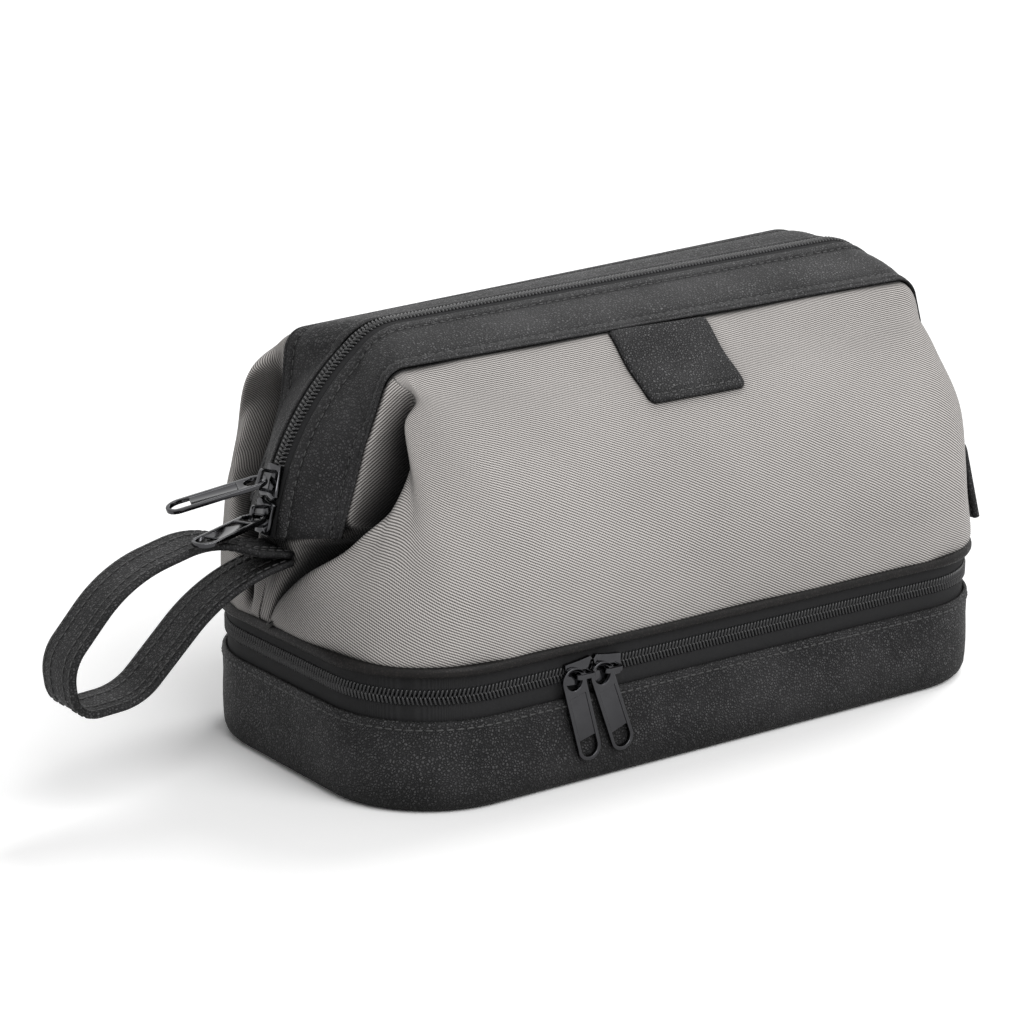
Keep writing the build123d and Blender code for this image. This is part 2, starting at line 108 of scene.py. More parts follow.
def grid_mesh(name, grid, wrap=False, flip=False, uv=None):
    """A sheet from a rows x columns grid of points, with the cloth's own lengths as UVs."""
    rows, columns = grid.shape[:2]
    faces = grid_faces(rows, columns, wrap)
    if flip:
        faces = [f[::-1] for f in faces]
    obj = new_mesh(name, grid.reshape(-1, 3), faces)
    if uv is not None:
        layer = obj.data.uv_layers.new(name="cloth")
        flat = uv.reshape(-1, 2) * mm
        index = np.zeros(len(obj.data.loops), int)
        obj.data.loops.foreach_get("vertex_index", index)
        layer.data.foreach_set("uv", flat[index].ravel())
    return obj


def bake(obj):
    """Apply the modifiers, so that the final mesh is what rides."""
    graph = bpy.context.evaluated_depsgraph_get()
    mesh = bpy.data.meshes.new_from_object(obj.evaluated_get(graph))
    obj.modifiers.clear()
    obj.data = mesh
    mesh.polygons.foreach_set("use_smooth", [True] * len(mesh.polygons))
    return obj


def thicken(obj, thickness, offset=-1, even=True):
    m = obj.modifiers.new("thick", "SOLIDIFY")
    m.thickness, m.offset, m.use_even_offset = thickness * mm, offset, even
    return bake(obj)


def paint(obj, material):
    obj.data.materials.clear()
    obj.data.materials.append(material)
    return obj


def stands(obj, material, slot, *cad):
    paint(obj, material)
    if cad:
        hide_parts(*cad)
    return obj


def on_mouth(obj):
    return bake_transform(obj)


def mirrored(grid, side):
    """The front's grid, or the same at the rear."""
    return grid if side < 0 else grid * np.array((1, -1, 1))


# Paths

def corner_arc(before, here, after, radius):
    """The centre and both ends of the arc that rounds a corner."""
    back, ahead = before - here, after - here
    back, ahead = back / np.linalg.norm(back), ahead / np.linalg.norm(ahead)
    turn = math.acos(np.clip(back @ ahead, -1, 1))
    reach = radius / math.tan(turn / 2)
    middle = back + ahead
    centre = here + middle / np.linalg.norm(middle) * radius / math.sin(turn / 2)
    return centre, here + back * reach, here + ahead * reach


def arc_points(centre, a, b, shares):
    """Points on the shorter arc from a to b."""
    start = math.atan2(*(a - centre)[::-1])
    sweep = (math.atan2(*(b - centre)[::-1]) - start + math.pi) % (2 * math.pi) - math.pi
    angle = start + sweep * shares
    return centre + np.linalg.norm(a - centre) * np.stack((np.cos(angle), np.sin(angle)), 1)


def bent_path(corners, radii, counts):
    """Points along straight runs and corner arcs, with a set count on each of them."""
    corners = [np.array(c, float) for c in corners]
    arcs = [corner_arc(*corners[k:k + 3], radius) for k, radius in enumerate(radii)]
    cuts = [corners[0]] + [end for _, a, b in arcs for end in (a, b)] + [corners[-1]]
    points = []
    for k, count in enumerate(counts):
        shares = np.linspace(0, 1, count, endpoint=False)
        if k % 2 == 0:
            points.append(cuts[k] + (cuts[k + 1] - cuts[k]) * shares[:, None])
        else:
            points.append(arc_points(*arcs[k // 2], shares))
    points.append(cuts[-1][None])
    return np.concatenate(points)


def lengths(points):
    return np.concatenate(([0], np.cumsum(np.linalg.norm(np.diff(points, axis=0), axis=1))))


def on_line(points, spots):
    """Positions at distances along a line of points."""
    s = lengths(points)
    return np.stack([np.interp(spots, s, points[:, k]) for k in range(points.shape[1])], 1)


def along(points, spots, reach=0.4):
    """Positions and directions at distances along a line of points."""
    way = on_line(points, spots + reach) - on_line(points, spots - reach)
    return on_line(points, spots), way / np.linalg.norm(way, axis=1)[:, None]


def ring(inset, count=outline_steps):
    """The tray's outline from above, from the middle of the rear, round by the right end and the front."""
    x, y, r = half_length - inset, half_depth - inset, corner - inset
    corners = ((0, y), (x, y), (x, -y), (-x, -y), (-x, y), (0, y))
    path = bent_path(corners, (r, r, r, r), (30, 24, 20, 24, 60, 24, 20, 24, 30))
    total = lengths(path)[-1]
    place, way = along(path, np.linspace(0, total, count, endpoint=False))
    way[0] = (1, 0)
    return place, np.stack((-way[:, 1], way[:, 0]), 1)


def ring_grid(profile, count=outline_steps):
    """Sweep a profile of (outward offset, height) pairs round the outline."""
    place, out = ring(0, count)
    rows = [np.concatenate((place + out * off, np.full((count, 1), z)), 1) for off, z in profile]
    return np.array(rows)


def zip_run(inset, height):
    """The lower zip's path: from the rear's left end round the left, front and right."""
    x, y, r = half_length - inset, half_depth - inset, corner - inset
    corners = ((-rear_zip_end, y), (-x, y), (-x, -y), (x, -y), (x, y), (rear_zip_end, y))
    path = bent_path(corners, (r, r, r, r), (6, 30, 20, 30, 80, 30, 20, 30, 6))
    return np.concatenate((path, np.full((len(path), 1), height)), 1)


# Small repeated pieces: stitches and teeth

def capsule(sides=7):
    """A unit capsule along X, of length 1 and radius 1 in Y and Z, as points and faces."""
    points, faces = [], []
    stations = [(-0.5, 0.0), (-0.46, 0.62), (-0.3, 1.0), (0.3, 1.0), (0.46, 0.62), (0.5, 0.0)]
    for x, r in stations:
        for k in range(sides):
            a = 2 * math.pi * k / sides
            points.append((x, r * math.cos(a), r * math.sin(a)))
    faces = grid_faces(len(stations), sides, wrap=True)
    return np.array(points), faces


def scatter(name, places, ways, ups, length, width, height):
    """Capsules at places, along ways, with ups as their third direction."""
    unit, faces = capsule()
    side = np.cross(ups, ways)
    side /= np.linalg.norm(side, axis=1)[:, None]
    ups = np.cross(ways, side)
    points = (
        places[:, None]
        + ways[:, None] * unit[None, :, :1] * length
        + side[:, None] * unit[None, :, 1:2] * width
        + ups[:, None] * unit[None, :, 2:3] * height
    )
    every = [tuple(v + k * len(unit) for v in f) for k in range(len(places)) for f in faces]
    return new_mesh(name, points.reshape(-1, 3), every)


def chain(name, path, side, across, proud):
    """One half of a zip's teeth: slightly slanted, they lie across the path on their side of it."""
    first = chain_margin + (tooth_pitch / 2 if side > 0 else 0)
    place, way = along(path, np.arange(first, lengths(path)[-1] - chain_margin, tooth_pitch))
    out = np.cross(way, across)
    slanted = across + way * tooth_slant * side
    slanted /= np.linalg.norm(slanted, axis=1)[:, None]
    place = place + across * side * tooth_offset + out * proud
    return scatter(name, place, slanted, out, tooth_length, tooth_radius, tooth_height)


def stitch_spots(line, normals, lift=0.05, pitch=3.3):
    """Places, directions and normals of a row of stitches along a line on a surface."""
    s = lengths(line)
    spots = np.arange(pitch / 2, s[-1], pitch)
    place, way = along(line, spots)
    up = np.stack([np.interp(spots, s, normals[:, k]) for k in range(3)], 1)
    up /= np.linalg.norm(up, axis=1)[:, None]
    return place + up * lift, way, up


def stitches(name, rows, length=2.5, radius=0.36):
    places, ways, ups = [np.concatenate(part) for part in zip(*rows)]
    return scatter(name, places, ways, ups, length, radius, radius * 0.8)


# Materials

def tree_of(name):
    material = bpy.data.materials.new(name)
    material.use_nodes = True
    tree = material.node_tree
    shader = tree.nodes["Principled BSDF"]
    return material, tree, shader


def node(tree, kind, inputs=None, **settings):
    made = tree.nodes.new(kind)
    for key, value in settings.items():
        setattr(made, key, value)
    for key, value in (inputs or {}).items():
        if isinstance(value, bpy.types.NodeSocket):
            tree.links.new(value, made.inputs[key])
        else:
            made.inputs[key].default_value = value
    return made


def maths(tree, operation, a, b=0.0, c=0.0):
    return node(tree, "ShaderNodeMath", {0: a, 1: b, 2: c}, operation=operation).outputs[0]


def mix_colour(tree, factor, dark, light):
    made = node(tree, "ShaderNodeMix", {0: factor, 6: (*dark, 1), 7: (*light, 1)}, data_type="RGBA")
    return made.outputs[2]


def bump(tree, shader, height, distance, strength=1.0):
    made = node(tree, "ShaderNodeBump", {"Height": height, "Distance": distance * mm, "Strength": strength})
    tree.links.new(made.outputs[0], shader.inputs["Normal"])


def object_place(tree):
    return node(tree, "ShaderNodeTexCoord").outputs["Object"]


def noise_of(tree, place, scale, detail):
    return node(tree, "ShaderNodeTexNoise", {"Vector": place, "Scale": scale, "Detail": detail}).outputs[0]


def wave(tree, phase):
    """A sine between 0 and 1."""
    return maths(tree, "MULTIPLY_ADD", maths(tree, "SINE", phase), 0.5, 0.5)


def painted_occlusion_shade(tree, depth, power):
    """How open a spot is, as a factor of painted shade: folds, seams and recesses come out darker in the colour.
    """
    open_share = node(tree, "ShaderNodeAmbientOcclusion", {"Distance": depth * mm}, samples=6).outputs["AO"]
    return maths(tree, "POWER", open_share, power)


# Multiplies a colour by a factor; every use here paints shade into the colour.
def painted_shade_multiply(tree, colour, factor):
    made = node(tree, "ShaderNodeMix", {0: 1.0, 6: colour, 7: factor}, data_type="RGBA",
                blend_type="MULTIPLY")
    return made.outputs[2]


def pebbles(tree, place, grain):
    """Rounded cells, 0 in the creases between them and 1 on their crowns."""
    warp = node(tree, "ShaderNodeTexNoise", {"Vector": place, "Scale": 420.0, "Detail": 2.0})
    shift = node(tree, "ShaderNodeVectorMath", {0: warp.outputs["Color"], "Scale": 0.9 * mm},
                 operation="SCALE")
    moved = node(tree, "ShaderNodeVectorMath", {0: place, 1: shift.outputs[0]}, operation="ADD")
    cells = node(tree, "ShaderNodeTexVoronoi", {"Vector": moved.outputs[0], "Scale": 1000 / grain},
                 feature="DISTANCE_TO_EDGE")
    inputs = {"Value": cells.outputs["Distance"], 1: 0.0, 2: 0.3, 3: 0.0, 4: 1.0}
    return node(tree, "ShaderNodeMapRange", inputs, interpolation_type="SMOOTHSTEP").outputs[0]


def leather(name, dark, light, grain=1.0, depth=0.42, roughness=(0.34, 0.6)):
    """Pebbled leather: small cells with creases between them, a finer grain and cloudy colour, with painted
    highlights on the cells' crowns and painted shade in creases and recesses.
    """
    material, tree, shader = tree_of(name)
    place = object_place(tree)
    fine = noise_of(tree, place, 2600.0, 3.0)
    cloud = noise_of(tree, place, 38.0, 4.0)
    patch = noise_of(tree, place, 620.0, 1.0)
    uneven = maths(tree, "MULTIPLY_ADD", patch, 1.6, -0.1)
    rise = maths(tree, "MULTIPLY", pebbles(tree, place, grain), uneven)
    bump(tree, shader, maths(tree, "MULTIPLY_ADD", fine, 0.22, rise), depth)
    clouded = maths(tree, "MULTIPLY_ADD", cloud, 0.8, -0.35)
    # Painted highlight and shade: the cells' crowns are lighter and the creases between them darker, on top of
    # the leather's own cloudy colour.
    tone = maths(tree, "MULTIPLY_ADD", maths(tree, "POWER", rise, 2.0), 1.3, clouded)
    # Painted shade: the colour darkens in recesses, seams and under other parts.
    colour = painted_shade_multiply(tree, mix_colour(tree, tone, dark, light), painted_occlusion_shade(tree, 14.0, 1.5))
    tree.links.new(colour, shader.inputs["Base Color"])
    rough = node(tree, "ShaderNodeMapRange", {"Value": tone, 3: roughness[1], 4: roughness[0]})
    tree.links.new(rough.outputs[0], shader.inputs["Roughness"])
    shader.inputs["Specular IOR Level"].default_value = 0.24
    return material


def twill_height(tree, spot, pitch, fall):
    """Slanted ridges that wander a little, with the beat of the yarns across them and some fuzz."""
    wander = noise_of(tree, spot, 90.0, 2.0)
    fuzz = noise_of(tree, spot, 3000.0, 2.0)
    parts = node(tree, "ShaderNodeSeparateXYZ", {0: spot})
    u, v = parts.outputs[0], parts.outputs[1]
    slant = math.radians(fall)
    across = maths(tree, "ADD", maths(tree, "MULTIPLY", u, math.sin(slant) * 1000 / pitch),
                   maths(tree, "MULTIPLY", v, math.cos(slant) * 1000 / pitch))
    across = maths(tree, "MULTIPLY_ADD", wander, 0.7, across)
    ridge = wave(tree, maths(tree, "MULTIPLY", across, 2 * math.pi))
    yarn = maths(tree, "MULTIPLY", u, 2000 / pitch * math.pi)
    beat = wave(tree, maths(tree, "ADD", yarn, maths(tree, "MULTIPLY", across, 3.1)))
    return maths(tree, "MULTIPLY_ADD", beat, 0.22, maths(tree, "MULTIPLY_ADD", fuzz, 0.25, ridge))


def twill(name, dark, light, pitch=0.84, fall=28.0):
    """Twill cloth, laid out by the cloth's own lengths: pitch in millimetres, fall in degrees. Its colour
    carries painted shade in folds and recesses.
    """
    material, tree, shader = tree_of(name)
    spot = node(tree, "ShaderNodeUVMap", uv_map="cloth").outputs[0]
    height = twill_height(tree, spot, pitch, fall)
    bump(tree, shader, height, 0.16)
    clouded = maths(tree, "MULTIPLY_ADD", noise_of(tree, spot, 14.0, 3.0), 0.3, 0.35)
    tone = maths(tree, "MULTIPLY_ADD", maths(tree, "SUBTRACT", height, 0.72), 0.95, clouded)
    # Painted shade: the colour darkens in folds, in the gusset and in other recesses.
    colour = painted_shade_multiply(tree, mix_colour(tree, tone, dark, light), painted_occlusion_shade(tree, 40.0, 2.6))
    tree.links.new(colour, shader.inputs["Base Color"])
    shader.inputs["Roughness"].default_value = 0.85
    shader.inputs["Sheen Weight"].default_value = 0.12
    shader.inputs["Specular IOR Level"].default_value = 0.16
    return material


def woven(name, dark, light, pitch=0.7, rough=0.8):
    """Fine woven tape or lining, with ridges crossed in both directions."""
    material, tree, shader = tree_of(name)
    place = object_place(tree)
    parts = node(tree, "ShaderNodeSeparateXYZ", {0: place})
    flat = maths(tree, "ADD", parts.outputs[0], parts.outputs[1])
    turn = 2000 * math.pi / pitch
    one, two = [maths(tree, "SINE", maths(tree, "MULTIPLY", maths(tree, way, flat, parts.outputs[2]), turn))
                for way in ("ADD", "SUBTRACT")]
    height = maths(tree, "MULTIPLY_ADD", maths(tree, "MULTIPLY", one, two), 0.5, 0.5)
    height = maths(tree, "MULTIPLY_ADD", noise_of(tree, place, 1500.0, 3.0), 0.5, height)
    bump(tree, shader, height, 0.12)
    colour = mix_colour(tree, maths(tree, "MULTIPLY", height, 0.8), dark, light)
    tree.links.new(colour, shader.inputs["Base Color"])
    shader.inputs["Roughness"].default_value = rough
    shader.inputs["Specular IOR Level"].default_value = 0.3
    return material


def metal(name, base, low, high):
    """Polished metal with faint smudges."""
    material, tree, shader = tree_of(name)
    smudge = noise_of(tree, object_place(tree), 260.0, 4.0)
    rough = node(tree, "ShaderNodeMapRange", {"Value": smudge, 3: low, 4: high}).outputs[0]
    tree.links.new(rough, shader.inputs["Roughness"])
    tone = [c * 0.75 for c in base]
    tree.links.new(mix_colour(tree, smudge, tone, base), shader.inputs["Base Color"])
    shader.inputs["Metallic"].default_value = 1.0
    bump(tree, shader, smudge, 0.02, 0.4)
    return material


def plastic(name, dark, light, rough):
    """Plain material with faint specks, for thread, teeth and board."""
    material, tree, shader = tree_of(name)
    speck = noise_of(tree, object_place(tree), 900.0, 3.0)
    tree.links.new(mix_colour(tree, speck, dark, light), shader.inputs["Base Color"])
    shader.inputs["Roughness"].default_value = rough
    bump(tree, shader, speck, 0.05, 0.6)
    return material


black_leather = leather("leather_black", (0.006, 0.006, 0.0065), (0.075, 0.074, 0.076))
band_leather = leather("leather_band", (0.007, 0.007, 0.0075), (0.06, 0.059, 0.061), depth=0.22)
piping_leather = leather("leather_piping", (0.004, 0.0035, 0.0035), (0.016, 0.013, 0.012),
                         grain=0.9, depth=0.05)
grey_twill = twill("twill_grey", (0.07, 0.065, 0.062), (0.72, 0.685, 0.66))
tape_cloth = woven("tape_black", (0.004, 0.004, 0.0045), (0.022, 0.022, 0.023))
lining_cloth = woven("lining_dark", (0.03, 0.029, 0.028), (0.07, 0.068, 0.066), pitch=0.9)
base_cloth = woven("base_black", (0.008, 0.008, 0.008), (0.03, 0.03, 0.03), pitch=1.1)
thread = plastic("thread_black", (0.012, 0.012, 0.012), (0.06, 0.06, 0.06), 0.5)
teeth_black = plastic("teeth_black", (0.006, 0.006, 0.007), (0.03, 0.03, 0.031), 0.2)
board_grey = plastic("board_grey", (0.05, 0.048, 0.045), (0.09, 0.087, 0.083), 0.8)
black_metal = metal("metal_black", (0.09, 0.09, 0.095), 0.07, 0.18)
steel = metal("steel_wire", (0.5, 0.5, 0.5), 0.25, 0.4)


# Tray

# The wall's outline, from under the floor's edge up the outside and down the inside: outward offset, height
wall_outline = ((-9.0, 0.0), (-4.2, 0.0), (-2.2, 0.7), (-0.9, 2.0), (-0.2, 3.9), (0.05, 7.0), (0.15, 12.0),
                (0.0, 17.0), (-0.25, 22.0), (-0.2, 26.5), (0.0, 29.2), (-0.15, 30.4), (-0.6, tray_top),
                (-1.3, tray_top), (-1.8, 30.4), (-2.0, 29.0), (-2.0, 20.0), (-2.0, 2.2))
tray_lining_level = 4.5
tray_lining_outline = ((-2.7, 30.6), (-3.0, 20.0), (-3.1, 5.5), (-4.0, 4.6), (-8.0, tray_lining_level))
tray_seam = tray_top - 2.6


def closed(points):
    return np.concatenate((points, points[:1]))


def tray():
    wall = grid_mesh("tray_leather", ring_grid(wall_outline), wrap=True, flip=True)
    stands(wall, black_leather, "leather", "tray_wall")
    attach(wall, "bottom_tray")
    place, out = ring(0, 2 * outline_steps)
    level = np.full((len(place), 1), tray_seam)
    line = closed(np.concatenate((place - out * 0.12, level), 1))
    normal = closed(np.concatenate((out, level * 0), 1))
    seam = stitches("tray_stitches", [stitch_spots(line, normal)])
    stands(seam, thread, "leather")
    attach(seam, "bottom_tray")
    inside = ring_grid(tray_lining_outline)
    centre = np.tile(np.array((0.0, 0.0, tray_lining_level)), (1, inside.shape[1], 1))
    cloth = grid_mesh("tray_lining_cloth", np.concatenate((inside, centre)), wrap=True)
    stands(cloth, lining_cloth, "lining", "tray_lining")
    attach(cloth, "bottom_tray")


def zip_strip(name, low, high, cad, body):
    """One half of the lower zip's tape."""
    rows = [zip_run(tape_inset, z) for z in np.linspace(low, high, 7)]
    obj = grid_mesh(name, np.array(rows))
    thicken(obj, tape, 0)
    stands(obj, tape_cloth, "zip_tape", cad)
    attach(obj, body)


def hinge_strip():
    """The tape behind the tray, where the lower zip doesn't run."""
    rows = []
    for t in np.linspace(0, 1, 9):
        x = np.linspace(1 - rear_zip_end, rear_zip_end - 1, 40)
        y = np.full(40, half_depth - tape_inset + 0.5 * math.sin(math.pi * t))
        rows.append(np.stack((x, y, np.full(40, hinge_foot + (hinge_head - hinge_foot) * t)), 1))
    strip = grid_mesh("hinge_strip_tape", np.array(rows), flip=True)
    thicken(strip, tape, 0)
    stands(strip, tape_cloth, "zip_tape", "rear_hinge_strip")
    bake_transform(strip)


def lower_zip():
    low, high = zip_level - tape_half_gap, zip_level + tape_half_gap
    zip_strip("lower_tape_low", tape_foot, low, "lower_zip_tape_bottom", "bottom_tray")
    zip_strip("lower_tape_high", high, tape_head, "lower_zip_tape_top", "upper_bag")
    path = zip_run(chain_inset, zip_level)
    for side, name, cad, body in ((-1, "low", "lower_zip_coil_bottom", "bottom_tray"),
                                  (1, "high", "lower_zip_coil_top", "upper_bag")):
        coil = chain("lower_coil_" + name, path, side, np.array((0.0, 0.0, 1.0)), 0.0)
        stands(coil, teeth_black, "zip_coil", cad)
        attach(coil, body)
    hinge_strip()


# The bead's outline: outward offset, and depth below the waist
bead_outline = ((-2.6, 3.4), (-0.6, 3.6), (0.35, 3.3), (0.8, 2.5), (0.85, 1.6), (0.6, 0.7), (-0.1, 0.1),
                (-1.2, -0.2), (-2.6, 0.0))
# The divider's cloth: share of its reach from the middle, and depth below the waist
divider_outline = ((1.0, 0.7), (0.97, 0.8925), (0.6, 0.8), (0.0, 0.65))
divider_inset = 2.9


def waist_bead():
    bead = grid_mesh("waist_bead", ring_grid([(off, waist - down) for off, down in bead_outline]),
                     wrap=True, flip=True)
    stands(bead, piping_leather, "piping", "waist_piping")
    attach(bead, "upper_bag")
    place, out = ring(0)
    rows = [np.concatenate(((place - out * divider_inset) * share, np.full((len(place), 1), waist - down)), 1)
            for share, down in divider_outline]
    cloth = grid_mesh("divider_cloth", np.array(rows), wrap=True)
    stands(cloth, lining_cloth, "lining", "divider_lining")
    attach(cloth, "upper_bag")


# Cloth shell

# Drawn: nine points from the waist to under the band, for each column from the middle of the
# left end round to the front
left_columns = (
    ((-131.2, 0, 46), (-132.9, 0, 50.5), (-133.3, 0, 57), (-133.4, 0, 64), (-133.2, 0, 70),
     (-133, 0, 74.5), (-133.4, 0, 78), (-134.8, 0, 81), (-133.4, 0, 86)),
    ((-131.2, -4.6, 46), (-132.9, -5, 50.5), (-133.1, -6.4, 57), (-132.8, -8.5, 63.5), (-132.2, -10.5, 69.5),
     (-131.8, -11.5, 74.5), (-131.6, -12.5, 79), (-132.6, -13.5, 82.6), (-131, -14, 87)),
    ((-131.2, -6, 46), (-132.6, -6.8, 50.5), (-128.6, -9, 57.5), (-118, -12.5, 64.5), (-108.5, -17, 71),
     (-103, -21, 76.5), (-104, -25, 81.5), (-120, -29.4, 85.6), (-125.6, -25.5, 90)),
    ((-131.2, -7.8, 46), (-133, -8.6, 50.5), (-133.6, -11.5, 60), (-132.4, -20.5, 71), (-128.4, -31, 81),
     (-121.5, -37.5, 88.5), (-103.5, -30, 87), (-122.6, -30.4, 92.6), (-123.4, -26, 94.5)),
    ((-130.6, -25, 46), (-132.4, -26.2, 50.5), (-131.6, -32, 61), (-129, -39.5, 74), (-124, -45, 87),
     (-118.2, -45, 97), (-103.5, -34, 99), (-118.6, -30.8, 103), (-120, -26, 104)),
    ((-126, -46, 46), (-127.2, -47.4, 50.5), (-125.4, -50.5, 62), (-121.6, -52.5, 77), (-117.2, -53, 93),
     (-111.4, -45, 110), (-101, -34.5, 113), (-113.4, -31, 116), (-115.4, -26, 117)),
    ((-112.2, -60.2, 46), (-113.2, -61.6, 50.5), (-112.8, -63.6, 63), (-111.6, -64, 79), (-111.4, -55.5, 102),
     (-110.8, -40.5, 122), (-104, -34.5, 125.5), (-108.6, -31.5, 128.8), (-109.8, -26, 130)),
    ((-94, -65.6, 46), (-94, -67, 50.5), (-94.6, -68.6, 63), (-95.2, -69, 80), (-97, -61.5, 103),
     (-101, -46.5, 123), (-103, -37.5, 131), (-102.5, -32.2, 134.6), (-98.4, -25.5, 136.8)),
    ((-75, -65.6, 46), (-75, -67.3, 50.5), (-75.5, -69.4, 63), (-76, -70.2, 80), (-77, -64, 102),
     (-80, -51.5, 120), (-82.5, -40, 129), (-84, -32.8, 134.8), (-84, -25.5, 137.4)),
    ((-40, -65.6, 46), (-40, -67.3, 50.5), (-40, -69.8, 63), (-40.5, -70.6, 80), (-41, -64.5, 101),
     (-42, -53, 119), (-43, -41, 128.8), (-44, -33.2, 134.8), (-44, -25.5, 137.4)),
)


def catmull(points, samples):
    """A smooth curve through points (first axis), evenly in their parameter."""
    p = np.concatenate((2 * points[:1] - points[1:2], points, 2 * points[-1:] - points[-2:-1]))
    t = np.linspace(0, len(points) - 1, samples)
    k = np.minimum(t.astype(int), len(points) - 2)
    f = (t - k).reshape(-1, *([1] * (points.ndim - 1)))
    a, b, c, d = p[k], p[k + 1], p[k + 2], p[k + 3]
    bend = 2 * a - 5 * b + 4 * c - d
    return 0.5 * (2 * b + (c - a) * f + bend * f ** 2 + (3 * b - a - 3 * c + d) * f ** 3)


def band_edges(side):
    """The band's two edges as points at matching places: by the zip, and on the mouth's edge."""
    inner = bent_path(zip_corners, zip_radii, leg_counts)
    outer = bent_path(edge_corners[side], edge_radii[side], leg_counts)
    inner = np.stack((inner[:, 0], np.full(len(inner), -zip_gap), inner[:, 1]), 1)
    outer = np.stack((outer[:, 0], np.full(len(outer), -mouth_half), outer[:, 1]), 1)
    return inner, outer


def under_band(inner, outer, out, at):
    """Where the cloth meets the band's edge, and where it ends under the band, at a place along its edges."""
    k, f = int(at), at - int(at)
    after = min(k + 1, len(outer) - 1)
    edge, top, lift = [line[k] * (1 - f) + line[after] * f for line in (outer, inner, -out)]
    tuck = edge * (1 - tuck_share) + top * tuck_share
    return edge - lift * under_edge + (0, -0.5, 0), tuck - lift * under_tuck


# How the drawn columns meet the photo's outline: the ends of the rear's ridge as (x, z), and how far outwards
# the rear's left end and the front's right end move at certain heights
rear_ridge = ((-110.0, 139.5), (112.0, 151.2))
rise_from, drawn_ridge, end_reach = 80.0, 137.0, 105.0
rear_outwards = ((84, 100, 112, 124, 134, 142), (0, 1.5, 5.0, 8.0, 5.0, 0))
front_outwards = ((50, 60, 78, 92, 106, 120, 138), (0, -2.2, -2.4, 0, 1.0, 3.0, 3.0))

# Low down the end columns lean towards the rear by a share of this depth, and less and less up to a height
lean_depth, lean_from, lean_to = 14.0, 50.0, 82.0
end_lean = {-1: (1, 1, 1, 0.9, 0.35), 1: (1, 0.9, 0.95, 1.1, 0.3)}

# Columns at each end that stay clear of the band, and those whose band edge runs along the front
free_columns, front_first, front_last = 3, 7, 13


def drawn_columns():
    """The front's columns from end to end. The right end has a shallow fold where the left has a gusset."""
    left = np.array(left_columns, float)
    middle = left[-1:].copy()
    middle[:, :, 0] = 0
    right = left[::-1].copy()
    right[:, :, 0] *= -1
    right[3:7, 5] = (right[3:7, 4] + right[3:7, 7]) / 2 + (-1.5, -3.0, 2.0)
    right[3:8, 6] = right[3:8, 4] * 0.2 + right[3:8, 7] * 0.8 + (0.0, -1.5, 1.2)
    return np.concatenate((left, middle, right))


def fitted_columns(side):
    """The columns with each side's own outline: the rear rises to its band, and each has one end moved."""
    columns = drawn_columns()
    x, y, z = columns[..., 0], columns[..., 1], columns[..., 2]
    end = np.clip(np.abs(x) / end_reach, 0, 1) ** 3
    if side > 0:
        (x_left, z_left), (x_right, z_right) = rear_ridge
        ridge = z_left + (x - x_left) * (z_right - z_left) / (x_right - x_left)
        share = np.clip((z - rise_from) / (drawn_ridge - rise_from), 0, 1)
        z = z + (ridge - drawn_ridge) * share * share * (3 - 2 * share)
        x = x - np.where(x < 0, np.interp(z, *rear_outwards), 0) * end
    else:
        x = x + np.where(x > 0, np.interp(z, *front_outwards), 0) * end
    near = end_lean[side]
    lean = np.array(near + (0,) * (len(columns) - 2 * len(near)) + near[::-1])[:, None]
    low = np.clip((lean_to - z) / (lean_to - lean_from), 0, 1)
    return np.stack((x, y - side * lean_depth * lean * low, z), 2)


def band_spot(outer, k, place):
    """Which point of the band's edge a column meets: by its x along the front, by its height at the ends."""
    if front_first <= k <= front_last:
        return int(np.argmin(np.abs(outer[:, 0] - place[0])))
    away = np.where(outer[:, 0] * place[0] < 0, np.inf, np.abs(outer[:, 2] - place[2]))
    return int(np.argmin(away))


def tucked(grid, c, edge, tuck):
    """Move the top of one column of the grid, so that it meets the band's edge and ends under the band."""
    moves = ((0, 0, 0), edge - grid[edge_row, c], tuck - grid[-1, c])
    rows = (hem_row, edge_row, cloth_rows - 1)
    every = np.arange(hem_row, cloth_rows)
    grid[hem_row:, c] += np.stack([np.interp(every, rows, part) for part in zip(*moves)], 1)


def cloth_grid(side):
    """A panel's points, turned to the front. The band's edge sets where its last rows lie."""
    columns = fitted_columns(side)
    inner, outer = band_edges(side)
    out = surface_normals(np.stack((inner, outer)))[0]
    under = np.arange(free_columns, len(columns) - free_columns)
    spots = [band_spot(outer, k, columns[k, 7]) for k in under]
    for k, at in zip(under, spots):
        columns[k, 7], columns[k, 8] = under_band(inner, outer, out, at)
    grid = catmull(np.swapaxes(catmull(columns, cloth_columns), 0, 1), cloth_rows)
    place = np.linspace(0, len(columns) - 1, cloth_columns)
    inside = np.nonzero((place >= under[0]) & (place <= under[-1]))[0]
    for c, at in zip(inside, np.interp(place[inside], under, spots)):
        tucked(grid, c, *under_band(inner, outer, out, at))
    return grid


def surface_normals(grid):
    across = np.gradient(grid, axis=1)
    up = np.gradient(grid, axis=0)
    n = np.cross(across, up)
    return n / np.maximum(np.linalg.norm(n, axis=2), 1e-9)[:, :, None]


# The grains that the rear, the gusset and the end panels are cut on, in degrees from the front's, and the
# direction that the grains of the last two are laid out along
rear_grain, gusset_grain, end_grain = -42, -68, 47
end_facing = (0.76, 0.65)


